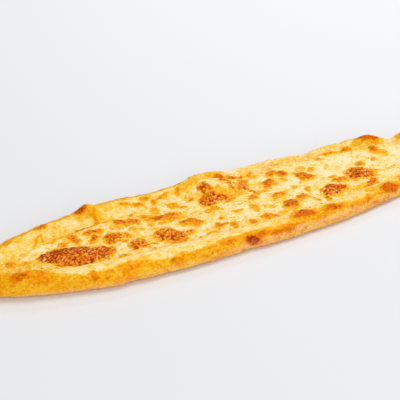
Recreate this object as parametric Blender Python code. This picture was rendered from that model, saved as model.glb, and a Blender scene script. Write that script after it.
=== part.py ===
"""Cheese pide: a long, narrow boat of flatbread with a thick rolled rim, filled with melted, browned cheese.

The loaf lies along X, its flat underside is on z = 0, and the near side is -Y. Two solids are made: the
bread, one boat-shaped body with a trough, and the cheese that fills the trough. Each is a surface over a
grid: stations along the loaf by places round its cross-section.

Sizes are in millimetres here, and MM turns them into Blender's metres when a mesh is made.
"""

import bpy
import numpy as np

MM = 0.001

# Driving dimensions: the loaf's outline, measured from the straight line through its two tips
LENGTH = 540.0
HALF = LENGTH / 2
NEAR_REACH = 66.0
NEAR_WIDEST_X = -10.0
FAR_REACH = ((-70, 55.0), (60, 52.5))
CENTRE_Y = -3.3  # middle of the loaf's width, which becomes y = 0
# Where each wall stands out (+) or is dented (-): x, half length, distance
NEAR_OUTLINE = ((-162, 36, 2.4), (-50, 70, -1.4))
FAR_OUTLINE = (
    (-195, 30, 1.5),
    (-112, 38, 5.0),
    (-66, 24, -1.5),
    (98, 28, -6.2),
    (158, 26, 5.0),
    (197, 14, -8.5),
)

# The trough that the cheese fills, from the same line
TROUGH_HALF = 245.0
TROUGH_END = 18.0  # length over which the bed climbs to the rim at each end
CLOSED_SHARE = 0.1  # past the trough, the crease line runs on at this share of the wall's distance
NEAR_CREASE = ((-200, 37.5), (-75, 36.0), (10, 39.0), (60, 39.0), (125, 36.5))
FAR_CREASE = ((-200, 31.0), (-45, 30.5), (20, 38.0), (150, 40.0))

# Heights of the rim's crown along each side, and of what lies between
NEAR_CROWN = ((-250, 17), (-215, 19.5), (-150, 18.5), (-50, 17), (40, 15.5), (110, 14), (190, 15), (250, 13))
FAR_CROWN = ((-250, 15), (-200, 16.5), (-140, 17.5), (-60, 17), (60, 16.5), (150, 16), (250, 13))
BED = 5.5
CHEESE_LEVEL = 11.0
CREASE_DROP = 1.3  # the bread's height at the crease is this much under the cheese's level
CHEESE_EDGE = 0.9
CHEESE_GAP = 0.45
CHEESE_END_INSET = 2.0  # how far the cheese ends short of the trough's tips
CHEESE_ROUNDING = 9.0
NOSE_HEIGHT = 6.0
NOSE_SWELL = 0.8

# The rim's cross-section
FOOT = 6.0  # how far the flat underside stays in from the wall
WAIST_SHARE = 0.36  # where the wall stands furthest out, as a share of the crown's height
CROWN_SHARE = 0.5  # the crown's place between the wall and the crease
UNDER_SHARE = 0.6  # how far the slope runs on under the cheese, as a share of its visible width
SHOULDER_POWER = 2.3
SLOPE_TURN = 0.85 * np.pi  # how much of a half wave the open slope runs through before it meets the cheese
TIP_LENGTH = 24.0
TIP_INSET = 1.2  # from the first full section to the point of the nose

# Puffed places on the bread: x, y, half length, half width, height
BREAD_PUFFS = (
    (-222, -30, 16, 12, 1.5),
    (34, -50, 15, 9, 1.8),
    (66, -53, 14, 6, 1.6),
    (132, -44, 12, 8, 1.5),
    (172, 38, 18, 11, 4.4),
    (209, 28, 14, 12, 4.8),
    (-172, 38, 14, 8, 1.0),
)
FAR_KNOBS_X = 190.0  # middle of the knobs near the far right end, where the mesh is finer
# Browned blisters large enough to stand up from the cheese: x, y, half length, half width, turn, height
CHEESE_BLISTERS = (
    (-172, -11, 36, 17, -20, 2.6),
    (-128, 0, 14, 10, 0, 1.8),
    (-114, -17, 9, 10, 0, 1.5),
    (-85, -17, 14, 18, 15, 2.2),
    (-77, 11, 17, 5, -25, 1.5),
    (-56, -10, 11, 7, 0, 1.6),
    (39, 16, 10, 9, 20, 1.6),
    (56, 30, 12, 8, -35, 1.8),
    (79, 11, 9, 10, 15, 1.8),
    (38, -8, 8, 6, 0, 1.2),
    (39, -28, 10, 8, 0, 1.5),
    (90, -23, 13, 12, 20, 2.1),
    (131, -8, 14, 14, 0, 2.2),
    (127, -32, 9, 6, 25, 1.3),
    (172, 26, 8, 9, 30, 1.6),
)
# The swelling where the far rim and the cheese have puffed up together: x, y, and its reach to each side
SWELL_X = -18.0
SWELL_Y = 42.0
SWELL_LEFT = 33.0
SWELL_RIGHT = 45.0
SWELL_NEAR = 34.0
SWELL_FAR = 16.0
SWELL_HEIGHT = 8.2
CHEESE_HEAP = (-16, 27, 24, 18, 3.6)
# The fold in the far rim, a narrow ridge from the crease up to a knob on the crown
FOLD_FOOT = (-133.0, 29.0)
FOLD_TOP = (-137.0, 50.0)
FOLD_LEFT = 9.0
FOLD_RIGHT = 15.0
FOLD_HEIGHT = 6.4

# Mesh detail: places along the loaf, round the half section and over the cheese
ROWS = 96
SECTION_STEPS = (3, 5, 4, 2, 2)  # foot, shoulder, open slope, covered slope, bed
CHEESE_COLUMNS = 17

CRUST_COLOUR = (0.86, 0.50, 0.16)
CHEESE_COLOUR = (0.93, 0.66, 0.24)


def ease(t):
    """Runs smoothly from 0 to 1 as t does."""
    t = np.clip(t, 0.0, 1.0)
    return t * t * (3 - 2 * t)


def along(x, stations):
    """A value that changes smoothly along the loaf, through the (x, value) stations given."""
    places = np.array([s[0] for s in stations], float)
    values = np.array([s[1] for s in stations], float)
    after = np.clip(np.searchsorted(places, x), 1, len(places) - 1)
    share = (x - places[after - 1]) / (places[after] - places[after - 1])
    return values[after - 1] + (values[after] - values[after - 1]) * ease(share)


def dome(x, y, cx, cy, reach_x, reach_y):
    """1 at the centre, falling as a cosine to 0 at the rim of an ellipse."""
    r = np.sqrt(((x - cx) / reach_x) ** 2 + ((y - cy) / reach_y) ** 2)
    return 0.5 + 0.5 * np.cos(np.pi * np.clip(r, 0, 1))


def turned_dome(x, y, cx, cy, reach_x, reach_y, degrees):
    """A dome whose long axis is turned by some degrees."""
    a = np.radians(degrees)
    dx = (x - cx) * np.cos(a) + (y - cy) * np.sin(a)
    dy = (y - cy) * np.cos(a) - (x - cx) * np.sin(a)
    return dome(dx, dy, 0, 0, reach_x, reach_y)


def waver(x, size, phase):
    """Unevenness of hand-rolled dough: three slow waves of unlike length."""
    short, middle, long = np.sin(x / 6.1 + 2.7 * phase), np.sin(x / 11.0 + phase), np.sin(x / 23.0 - phase)
    return size * (0.8 * short + middle + long) / 2


def unevenness(x, places, phase):
    """How far a wall departs from its even outline: named bulges and dents, and a slight waver."""
    out = waver(x, 0.5, phase)
    for cx, half_length, distance in places:
        out = out + distance * dome(x, 0, cx, 0, half_length, 1)
    return out


def reach(x, side):
    """How far the wall stands off the line through the tips, on the near (-1) or far (+1) side."""
    if side < 0:
        left = np.abs(x - NEAR_WIDEST_X) / (HALF + NEAR_WIDEST_X)
        right = np.abs(x - NEAR_WIDEST_X) / (HALF - NEAR_WIDEST_X)
        shape = np.where(
            x < NEAR_WIDEST_X,
            (1 - np.clip(left, 0, 1) ** 2.6) ** 0.6,
            (1 - np.clip(right, 0, 1) ** 2.2) ** 0.75,
        )
        return (NEAR_REACH + unevenness(x, NEAR_OUTLINE, 1.0)) * shape
    t = np.clip(np.abs(x) / HALF, 0, 1)
    shape = np.where(x < 0, (1 - t**5.0) ** 0.8, (1 - t**4.0) ** 0.8)
    return (along(x, FAR_REACH) + unevenness(x, FAR_OUTLINE, 4.0)) * shape


def crease(x, side):
    """How far the edge of the cheese lies off the line through the tips."""
    shape = (1 - np.clip(np.abs(x) / TROUGH_HALF, 0, 1) ** 3) ** 0.65
    if side < 0:
        return (along(x, NEAR_CREASE) + waver(x, 0.6, 2.0)) * shape
    over_swell = 9.5 * dome(x, 0, SWELL_X + 6, 0, 34, 1)
    return (along(x, FAR_CREASE) + over_swell + waver(x, 0.6, 5.0)) * shape


def swell(x, y):
    """The large swelling on the far rim: a dome with its own reach to each side."""
    reach_x = np.where(x < SWELL_X, SWELL_LEFT, SWELL_RIGHT)
    reach_y = np.where(y < SWELL_Y, SWELL_NEAR, SWELL_FAR)
    return SWELL_HEIGHT * dome(x, y, SWELL_X, SWELL_Y, reach_x, reach_y)


def fold(x, y):
    """The fold's ridge: steep on the left, gentler on the right, growing from the crease to the crown."""
    rise = np.clip((y - FOLD_FOOT[1]) / (FOLD_TOP[1] - FOLD_FOOT[1]), -0.4, 1.4)
    ridge_x = FOLD_FOOT[0] + (FOLD_TOP[0] - FOLD_FOOT[0]) * rise
    widening = 0.7 + 0.4 * rise
    off = (x - ridge_x) / (widening * np.where(x < ridge_x, FOLD_LEFT, FOLD_RIGHT))
    return FOLD_HEIGHT * ease(rise * 0.9 + 0.25) * (0.5 + 0.5 * np.cos(np.pi * np.clip(off, -1, 1)))


def bread_relief(x, y):
    """All that stands up from the bread's even top: the swelling, the fold and the puffed places."""
    height = swell(x, y) + fold(x, y)
    for cx, cy, reach_x, reach_y, size in BREAD_PUFFS:
        height = height + size * dome(x, y, cx, cy, reach_x, reach_y)
    return height


def cheese_relief(x, y):
    """All that stands up from the level of the cheese: the swelling, the heap on it and the blisters."""
    cx, cy, reach_x, reach_y, size = CHEESE_HEAP
    height = swell(x, y) + size * dome(x, y, cx, cy, reach_x, reach_y)
    for cx, cy, reach_x, reach_y, degrees, size in CHEESE_BLISTERS:
        height = height + size * turned_dome(x, y, cx, cy, reach_x, reach_y, degrees)
    return height


def half_section(x, w, side):
    """One side of the bread's cross-section at x, as distance off the middle line and height.

    w runs 0 to 1 round the foot, to 2 over the shoulder to the crown, to 3 down the open slope to the
    crease, to 4 down the slope under the cheese, and to 5 across the bed to the middle line.
    """
    wall = reach(x, side)
    edge = np.maximum(crease(x, side), CLOSED_SHARE * wall)
    near_crown, far_crown = along(x, NEAR_CROWN), along(x, FAR_CROWN)
    crown = near_crown if side < 0 else far_crown
    crown_y = wall - CROWN_SHARE * (wall - edge)
    bed_y = edge - np.minimum(UNDER_SHARE * (crown_y - edge), 0.5 * edge)
    closing = ease((np.abs(x) - TROUGH_HALF + 0.6 * TROUGH_END) / TROUGH_END)
    top_of_nose = (near_crown + far_crown) / 2 + NOSE_SWELL
    bed = BED + (top_of_nose - BED) * closing
    edge_z = CHEESE_LEVEL - CREASE_DROP
    edge_z = edge_z + (top_of_nose - edge_z) * closing
    waist = WAIST_SHARE * crown
    foot = np.minimum(FOOT, 0.45 * wall)

    a = np.clip(w, 0, 1) * np.pi / 2
    foot_y = wall - foot * (1 - np.sin(a))
    foot_z = waist * (1 - np.cos(a))
    b = np.clip(w - 1, 0, 1) * np.pi / 2
    shoulder_y = crown_y + (wall - crown_y) * np.abs(np.cos(b)) ** (2 / SHOULDER_POWER)
    shoulder_z = waist + (crown - waist) * np.abs(np.sin(b)) ** (2 / SHOULDER_POWER)
    open_share, covered_share = np.clip(w - 2, 0, 1), np.clip(w - 3, 0, 1)
    slope_y = crown_y + (edge - crown_y) * open_share + (bed_y - edge) * covered_share
    fall = (np.cos(SLOPE_TURN * open_share) - np.cos(SLOPE_TURN)) / (1 - np.cos(SLOPE_TURN))
    slope_z = edge_z + (crown - edge_z) * fall + (bed - edge_z) * ease(covered_share)
    bed_line_y = bed_y * (1 - np.clip(w - 4, 0, 1))

    y = np.where(w <= 1, foot_y, np.where(w <= 2, shoulder_y, np.where(w <= 4, slope_y, bed_line_y)))
    z = np.where(w <= 1, foot_z, np.where(w <= 2, shoulder_z, np.where(w <= 4, slope_z, bed)))
    return y, z


def bread_point(x, w, side):
    """The bread's surface at x and w on one side, with its relief, drawn in to a blunt nose at each tip."""
    y, z = half_section(x, w, side)
    y = side * y
    z = z + bread_relief(x, y) * ease((w - 1.25) / 0.6)
    past = np.clip((np.abs(x) - HALF + TIP_LENGTH) / TIP_LENGTH, 0, 1)
    squeeze = np.sqrt(1 - past**2)
    return y, NOSE_HEIGHT + (z - NOSE_HEIGHT) * squeeze


def row_places():
    """Places along the loaf, closer together at the tips, the fold, the swelling and the far knobs."""
    last = HALF - TIP_INSET
    x = np.linspace(-last, last, 2001)
    density = 1 + 2.2 * dome(x, 0, FOLD_TOP[0], 0, 26, 1) + 0.6 * dome(x, 0, SWELL_X, 0, 45, 1)
    density = density + 0.7 * dome(x, 0, FAR_KNOBS_X, 0, 50, 1)
    density = density + 2.5 * ease((np.abs(x) - 0.86 * last) / (0.14 * last))
    travelled = np.concatenate([[0], np.cumsum((density[1:] + density[:-1]) / 2)])
    return np.interp(np.linspace(0, travelled[-1], ROWS), travelled, x)


def section_places():
    """The places w round half a section, foot to middle line."""
    places = [0.0]
    for stretch, steps in enumerate(SECTION_STEPS):
        places += [stretch + (i + 1) / steps for i in range(steps)]
    return np.array(places)


def tube_faces(rows, loop, turn_at=None):
    """Triangles between neighbouring rings of points, with a fan to a single point at each end.

    From place turn_at in the ring on, the triangles are split along the other diagonal. The cheese's underside
    runs against the bread's order, so this makes its facets lie parallel to those of the bread under it.
    """
    i, j = np.meshgrid(np.arange(rows - 1), np.arange(loop), indexing="ij")
    k = (j + 1) % loop
    a, b, c, d = i * loop + j, (i + 1) * loop + j, (i + 1) * loop + k, i * loop + k
    turned = j >= (loop if turn_at is None else turn_at)
    first_half = np.stack([a, b, np.where(turned, d, c)], -1)
    second_half = np.stack([np.where(turned, b, a), c, d], -1)
    sides = np.concatenate([first_half.reshape(-1, 3), second_half.reshape(-1, 3)])
    ring = np.arange(loop)
    after = (ring + 1) % loop
    first_cap = np.stack([ring, after, np.full(loop, rows * loop)], -1)
    last = (rows - 1) * loop
    last_cap = np.stack([last + after, last + ring, np.full(loop, rows * loop + 1)], -1)
    return sides.tolist() + first_cap.tolist() + last_cap.tolist()


def make_object(name, points, faces, material):
    """A smooth-shaded mesh object from points in millimetres off the line through the tips."""
    placed = (points - np.array([0, CENTRE_Y, 0])) * MM
    mesh = bpy.data.meshes.new(name)
    mesh.from_pydata(placed.tolist(), [], faces)
    mesh.materials.append(material)
    mesh.shade_smooth()
    mesh.update()
    obj = bpy.data.objects.new(name, mesh)
    bpy.context.scene.collection.objects.link(obj)
    return obj


def make_material(name, colour, roughness):
    """A plain Principled material."""
    material = bpy.data.materials.new(name)
    material.use_nodes = True
    shader = material.node_tree.nodes["Principled BSDF"]
    shader.inputs["Base Color"].default_value = (*colour, 1)
    shader.inputs["Roughness"].default_value = roughness
    shader.inputs["Metallic"].default_value = 0.0
    return material


def make_bread():
    """The boat of bread: rings from the near foot over the rim, across the trough and down to the far foot."""
    x = row_places()[:, None]
    w = section_places()[None, :]
    near_y, near_z = bread_point(x, w, -1)
    far_y, far_z = bread_point(x, w, 1)
    ring_y = np.concatenate([near_y, far_y[:, -2::-1]], 1)
    ring_z = np.concatenate([near_z, far_z[:, -2::-1]], 1)
    under_y = ring_y[:, -1:] + (ring_y[:, :1] - ring_y[:, -1:]) * np.array([[0.33, 0.67]])
    under_z = ring_z[:, -1:] + (ring_z[:, :1] - ring_z[:, -1:]) * np.array([[0.33, 0.67]])
    ring_y = np.concatenate([ring_y, under_y], 1)
    ring_z = np.concatenate([ring_z, under_z], 1)
    loop = ring_y.shape[1]
    rings = np.stack([np.broadcast_to(x, ring_y.shape), ring_y, ring_z], -1).reshape(-1, 3)
    noses = np.array([[-HALF, 0, NOSE_HEIGHT], [HALF, 0, NOSE_HEIGHT]])
    crust = make_material("crust", CRUST_COLOUR, 0.6)
    return make_object("bread", np.concatenate([rings, noses]), tube_faces(ROWS, loop), crust)


def make_cheese():
    """The filling: rings from its near edge across its top to the far edge, and back along the bed."""
    x = row_places()
    x = x[np.abs(x) < TROUGH_HALF - CHEESE_END_INSET][:, None]
    under = section_places()
    under = under[under >= 3][None, :]
    near_y, near_z = bread_point(x, under, -1)
    far_y, far_z = bread_point(x, under, 1)
    under_y = np.concatenate([near_y, far_y[:, -2::-1]], 1)
    under_z = np.concatenate([near_z, far_z[:, -2::-1]], 1) + CHEESE_GAP
    across = np.linspace(0, 1, CHEESE_COLUMNS)[None, :]
    top_y = under_y[:, :1] + (under_y[:, -1:] - under_y[:, :1]) * across
    edge_z = under_z[:, :1] + (under_z[:, -1:] - under_z[:, :1]) * across + CHEESE_EDGE
    from_edge = np.minimum(top_y - under_y[:, :1], under_y[:, -1:] - top_y)
    inside = ease(from_edge / CHEESE_ROUNDING)
    top_z = edge_z + (CHEESE_LEVEL + cheese_relief(x, top_y) - edge_z) * inside
    ring_y = np.concatenate([top_y, under_y[:, ::-1]], 1)
    ring_z = np.concatenate([top_z, under_z[:, ::-1]], 1)
    loop = ring_y.shape[1]
    rings = np.stack([np.broadcast_to(x, ring_y.shape), ring_y, ring_z], -1).reshape(-1, 3)
    ends = np.array([rings[:loop].mean(0), rings[-loop:].mean(0)])
    browned = make_material("cheese", CHEESE_COLOUR, 0.4)
    faces = tube_faces(len(x), loop, CHEESE_COLUMNS)
    return make_object("cheese", np.concatenate([rings, ends]), faces, browned)


for old in list(bpy.data.objects):
    bpy.data.objects.remove(old)
make_bread()
make_cheese()
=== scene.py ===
# %% [markdown]
# # A cheese pide, dressed for its picture
#
# A pide is a boat of flatbread, half a metre long. The dough is rolled thin, its edges are turned
# in to a fat rim, its two ends are pinched to points, and the trough between them is filled with
# cheese that melts and browns in a stone oven. Its solids are already made, so this script only
# gives them their looks. It starts by loading them: the two nodes are `bread` and `cheese`, both
# ride on one body, and their box is measured.

import bpy
import numpy as np
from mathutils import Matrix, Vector


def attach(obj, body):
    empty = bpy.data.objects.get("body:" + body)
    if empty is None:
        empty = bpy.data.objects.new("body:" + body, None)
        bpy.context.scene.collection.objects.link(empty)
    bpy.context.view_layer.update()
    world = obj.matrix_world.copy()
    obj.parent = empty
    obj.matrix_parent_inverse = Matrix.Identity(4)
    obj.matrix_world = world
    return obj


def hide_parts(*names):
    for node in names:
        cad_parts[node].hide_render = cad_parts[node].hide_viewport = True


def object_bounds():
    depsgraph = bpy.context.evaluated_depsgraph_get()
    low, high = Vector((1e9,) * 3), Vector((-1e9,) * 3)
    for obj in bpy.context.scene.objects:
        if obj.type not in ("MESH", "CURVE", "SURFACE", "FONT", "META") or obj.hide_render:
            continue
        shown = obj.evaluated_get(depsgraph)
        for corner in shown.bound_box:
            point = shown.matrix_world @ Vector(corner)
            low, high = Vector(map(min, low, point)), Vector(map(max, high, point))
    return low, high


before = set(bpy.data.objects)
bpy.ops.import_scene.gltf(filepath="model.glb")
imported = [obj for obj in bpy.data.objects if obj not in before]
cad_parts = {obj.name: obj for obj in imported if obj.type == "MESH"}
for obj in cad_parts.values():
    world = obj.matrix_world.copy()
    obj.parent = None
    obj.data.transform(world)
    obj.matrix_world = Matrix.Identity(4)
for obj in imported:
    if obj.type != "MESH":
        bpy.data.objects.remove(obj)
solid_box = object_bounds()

MM = 0.001
size_mm = [(high - low) / MM for low, high in zip(*solid_box)]
print("nodes", sorted(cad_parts), "in a box of", [round(side, 1) for side in size_mm], "mm")

# %% [markdown]
# ## Colours, as an eye would name them
#
# A colour picked from a picture is in sRGB, where 128 looks like half of 255. A shader wants light
# itself, where the same tone is 0.22. One small helper turns the first into the second, so that
# every colour below can be written the way it would be picked.

# %% Colour helper
def paint(red, green, blue):
    """An sRGB colour from 0 to 255 as linear light: a straight line below 10, a power of 2.4 above it."""
    srgb = np.array([red, green, blue]) / 255
    linear = np.where(srgb > 0.04045, ((srgb + 0.055) / 1.055) ** 2.4, srgb / 12.92)
    return (*linear.tolist(), 1.0)


print("a mid grey of 128 is", round(paint(128, 128, 128)[0], 3), "in linear light")

# %% [markdown]
# ## The camera
#
# The pide was photographed from about arm's length, looking 30 degrees down and 29 degrees round to
# its left, so that its length runs across the frame and both tips are cut off. The camera is a
# plain pinhole: its place is the target plus a distance along the line of sight, and a long lens
# keeps the perspective mild.

# %% Camera
TARGET = Vector((-0.022, 0.0403, 0.0))


def add_object(name, data):
    """A new object for the camera, light or mesh given, linked into the scene."""
    thing = bpy.data.objects.new(name, data)
    bpy.context.scene.collection.objects.link(thing)
    return thing


def aim(thing, degrees_round, degrees_up, distance):
    """Puts a camera or lamp so far round, up and away from the target, and turns it to face it."""
    a, e = np.radians(degrees_round), np.radians(degrees_up)
    toward = Vector((np.sin(a) * np.cos(e), -np.cos(a) * np.cos(e), np.sin(e)))
    thing.location = TARGET + distance * toward
    thing.rotation_euler = toward.to_track_quat("Z", "Y").to_euler()


lens = bpy.data.cameras.new("camera")
lens.lens = 104.2
lens.sensor_width = 36.0
camera = add_object("camera", lens)
aim(camera, -29.2, 30.0, 1.1)
bpy.context.scene.camera = camera
print("camera at", [round(v, 3) for v in camera.location])

# %% [markdown]
# ## Floor and light
#
# The picture is bright and almost without shadow: a pale table, light from all round, a large soft
# panel above and a little behind the right end, and a lower one in front, so that the wall facing
# the camera is nearly as bright as the top. A small lamp behind on the right adds the glints on
# oily grains. The picture keeps its strong yellows only with the Standard view, because a film-like
# one would pale them.

# %% Floor
FLOOR_HALF = 4.0
FLOOR_CORNERS = ((-1, -1), (1, -1), (1, 1), (-1, 1))


def new_material(name):
    """An empty material and its Principled shader."""
    material = bpy.data.materials.new(name)
    material.use_nodes = True
    return material, material.node_tree.nodes["Principled BSDF"]


bpy.context.scene.view_settings.view_transform = "Standard"
floor_mesh = bpy.data.meshes.new("floor")
corners = [(FLOOR_HALF * x, FLOOR_HALF * y, 0) for x, y in FLOOR_CORNERS]
floor_mesh.from_pydata(corners, [], [(0, 1, 2, 3)])
floor = add_object("floor", floor_mesh)
table, table_shader = new_material("pale table")
table_shader.inputs["Base Color"].default_value = paint(237, 237, 238)
table_shader.inputs["Roughness"].default_value = 0.9
table_shader.inputs["Specular IOR Level"].default_value = 0.1
floor_mesh.materials.append(table)
print("floor", 2 * FLOOR_HALF, "m square")


# %% Light
def panel(name, side, power, degrees_round, degrees_up, distance):
    """A square soft light, so far round, up and away from the target, turned to face it."""
    light = bpy.data.lights.new(name, "AREA")
    light.shape = "SQUARE"
    light.size = side
    light.energy = power
    aim(add_object(name, light), degrees_round, degrees_up, distance)


world = bpy.data.worlds.new("soft room")
world.use_nodes = True
room_light = world.node_tree.nodes["Background"].inputs
room_light["Color"].default_value = paint(250, 252, 255)
room_light["Strength"].default_value = 0.48
bpy.context.scene.world = world
panel("panel above", 1.0, 21.0, 106.0, 62.0, 2.2)
panel("panel in front", 1.2, 15.5, -20.0, 24.0, 2.2)
panel("small lamp", 0.25, 2.4, 150.0, 42.0, 1.5)

# %% [markdown]
# ## The loaf's outline
#
# The pide is described in millimetres from the straight line through its two tips, and moved to its
# place only when a mesh is made. Each wall is a power curve that swells from the tips, with a few
# named bulges and dents where the dough sprang. Everything here repeats the solid's own form,
# because the finished skin has to sit where the solid is.

# %% Shape helpers
LENGTH = 540.0
HALF = LENGTH / 2
CENTRE_Y = -3.3


def ease(t):
    """Runs smoothly from 0 to 1 as t does: three t squared less two t cubed."""
    t = np.clip(t, 0.0, 1.0)
    return t * t * (3 - 2 * t)


def along(x, stations):
    """A value that changes smoothly along the loaf, through the (x, value) stations given."""
    places = np.array([s[0] for s in stations], float)
    values = np.array([s[1] for s in stations], float)
    after = np.clip(np.searchsorted(places, x), 1, len(places) - 1)
    share = (x - places[after - 1]) / (places[after] - places[after - 1])
    return values[after - 1] + (values[after] - values[after - 1]) * ease(share)


def dome(x, y, cx, cy, reach_x, reach_y):
    """1 at the centre, falling as a cosine to 0 at the rim of an ellipse."""
    r = np.sqrt(((x - cx) / reach_x) ** 2 + ((y - cy) / reach_y) ** 2)
    return 0.5 + 0.5 * np.cos(np.pi * np.clip(r, 0, 1))


def domes(x, y, places, total):
    """The total with a dome added for each (x, y, half length, half width, size) that is listed."""
    for cx, cy, reach_x, reach_y, size in places:
        total = total + size * dome(x, y, cx, cy, reach_x, reach_y)
    return total


def turned(x, y, a):
    """The same places measured along axes that are turned by the angle a."""
    return x * np.cos(a) + y * np.sin(a), y * np.cos(a) - x * np.sin(a)


def waver(x, size, phase):
    """Unevenness of hand-rolled dough: three slow waves of unlike length."""
    short = np.sin(x / 6.1 + 2.7 * phase)
    middle = np.sin(x / 11.0 + phase)
    long = np.sin(x / 23.0 - phase)
    return size * (0.8 * short + middle + long) / 2


# %% Outline
NEAR_REACH = 66.0
NEAR_WIDEST_X = -10.0
FAR_REACH = ((-70, 55.0), (60, 52.5))
NEAR_OUTLINE = ((-162, 36, 2.4), (-50, 70, -1.4))
FAR_OUTLINE = (
    (-195, 30, 1.5),
    (-112, 38, 5.0),
    (-66, 24, -1.5),
    (98, 28, -6.2),
    (158, 26, 5.0),
    (197, 14, -8.5),
)


def unevenness(x, places, phase):
    """A slight waver, and each (x, half length, distance) as a dome that moves the wall out or in."""
    out = waver(x, 0.5, phase)
    for cx, half_length, distance in places:
        out = out + distance * dome(x, 0, cx, 0, half_length, 1)
    return out


def reach(x, side):
    """Distance of the near (-1) or far (+1) wall: its width times (1 - t to a power) to a power."""
    if side < 0:
        left = np.abs(x - NEAR_WIDEST_X) / (HALF + NEAR_WIDEST_X)
        right = np.abs(x - NEAR_WIDEST_X) / (HALF - NEAR_WIDEST_X)
        on_left = (1 - np.clip(left, 0, 1) ** 2.6) ** 0.6
        on_right = (1 - np.clip(right, 0, 1) ** 2.2) ** 0.75
        shape = np.where(x < NEAR_WIDEST_X, on_left, on_right)
        return (NEAR_REACH + unevenness(x, NEAR_OUTLINE, 1.0)) * shape
    t = np.clip(np.abs(x) / HALF, 0, 1)
    shape = np.where(x < 0, (1 - t**5.0) ** 0.8, (1 - t**4.0) ** 0.8)
    return (along(x, FAR_REACH) + unevenness(x, FAR_OUTLINE, 4.0)) * shape


print("width at the middle", round(float(reach(np.zeros(1), -1)[0] + reach(np.zeros(1), 1)[0]), 1), "mm")

# %% [markdown]
# ## The trough, the swelling and the fold
#
# The cheese lies between two crease lines. On the far side the rim and the cheese have puffed up
# together into one big swelling, and further left the dough was folded over itself, which left a
# short ridge. Both are plain formulas added to the height, so bread and cheese rise by the same
# amount and never part.

# %% Crease lines
TROUGH_HALF = 245.0
TROUGH_END = 18.0
CLOSED_SHARE = 0.1
NEAR_CREASE = ((-200, 37.5), (-75, 36.0), (10, 39.0), (60, 39.0), (125, 36.5))
FAR_CREASE = ((-200, 31.0), (-45, 30.5), (20, 38.0), (150, 40.0))
SWELL_X = -18.0


def crease(x, side):
    """Distance of the cheese's edge: stations along the loaf, times a curve that closes at the tips."""
    shape = (1 - np.clip(np.abs(x) / TROUGH_HALF, 0, 1) ** 3) ** 0.65
    if side < 0:
        return (along(x, NEAR_CREASE) + waver(x, 0.6, 2.0)) * shape
    over_swell = 9.5 * dome(x, 0, SWELL_X + 6, 0, 34, 1)
    return (along(x, FAR_CREASE) + over_swell + waver(x, 0.6, 5.0)) * shape


print("trough", round(float(crease(np.zeros(1), -1)[0] + crease(np.zeros(1), 1)[0]), 1), "mm wide")

# %% Swelling, fold and puffs
SWELL_Y = 42.0
SWELL_LEFT = 33.0
SWELL_RIGHT = 45.0
SWELL_NEAR = 34.0
SWELL_FAR = 16.0
SWELL_HEIGHT = 8.2
FOLD_FOOT = (-133.0, 29.0)
FOLD_TOP = (-137.0, 50.0)
FOLD_LEFT = 9.0
FOLD_RIGHT = 15.0
FOLD_HEIGHT = 6.4
# x, y, half length, half width, height
BREAD_PUFFS = (
    (-222, -30, 16, 12, 1.5),
    (34, -50, 15, 9, 1.8),
    (66, -53, 14, 6, 1.6),
    (132, -44, 12, 8, 1.5),
    (172, 38, 18, 11, 4.4),
    (209, 28, 14, 12, 4.8),
    (-172, 38, 14, 8, 1.0),
)


def swell(x, y):
    """The big swelling: one cosine dome with its own reach to each of its four sides."""
    reach_x = np.where(x < SWELL_X, SWELL_LEFT, SWELL_RIGHT)
    reach_y = np.where(y < SWELL_Y, SWELL_NEAR, SWELL_FAR)
    return SWELL_HEIGHT * dome(x, y, SWELL_X, SWELL_Y, reach_x, reach_y)


def fold_rise(x, y):
    """Two numbers: how far up the fold y is, and how far x is off its ridge, steeper on the left."""
    rise = np.clip((y - FOLD_FOOT[1]) / (FOLD_TOP[1] - FOLD_FOOT[1]), -0.4, 1.4)
    ridge_x = FOLD_FOOT[0] + (FOLD_TOP[0] - FOLD_FOOT[0]) * rise
    off = (x - ridge_x) / ((0.7 + 0.4 * rise) * np.where(x < ridge_x, FOLD_LEFT, FOLD_RIGHT))
    return rise, off


def fold(x, y):
    """The fold's height: a cosine across the ridge, growing from the crease up to the crown."""
    rise, off = fold_rise(x, y)
    return FOLD_HEIGHT * ease(rise * 0.9 + 0.25) * (0.5 + 0.5 * np.cos(np.pi * np.clip(off, -1, 1)))


def bread_relief(x, y):
    """The swelling, the fold and the puffed places, added together."""
    return domes(x, y, BREAD_PUFFS, swell(x, y) + fold(x, y))


print("swelling", SWELL_HEIGHT, "mm, fold", FOLD_HEIGHT, "mm")

# %% [markdown]
# ## One side of the cross-section
#
# Seen from its tip the rim is a soft D. A single number w walks round it: 0 to 1 is the rounded
# foot, to 2 the shoulder up to the crown, to 3 the slope down to the cheese, to 4 the slope that
# the cheese covers, and to 5 the bed to the middle line. A quarter ellipse, a superellipse, a
# cosine and an ease make the four stretches, and near each tip the whole section is squeezed to a
# point.

# %% Section
# x, and the height of the rim there
NEAR_CROWN = (
    (-250, 17),
    (-215, 19.5),
    (-150, 18.5),
    (-50, 17),
    (40, 15.5),
    (110, 14),
    (190, 15),
    (250, 13),
)
FAR_CROWN = ((-250, 15), (-200, 16.5), (-140, 17.5), (-60, 17), (60, 16.5), (150, 16), (250, 13))
BED = 5.5
CHEESE_LEVEL = 11.0
CREASE_DROP = 1.3
NOSE_HEIGHT = 6.0
NOSE_SWELL = 0.8
FOOT = 6.0
WAIST_SHARE = 0.36
CROWN_SHARE = 0.5
UNDER_SHARE = 0.6
SHOULDER_POWER = 2.3
SLOPE_TURN = 0.85 * np.pi
TIP_LENGTH = 24.0
TIP_INSET = 1.2


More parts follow.
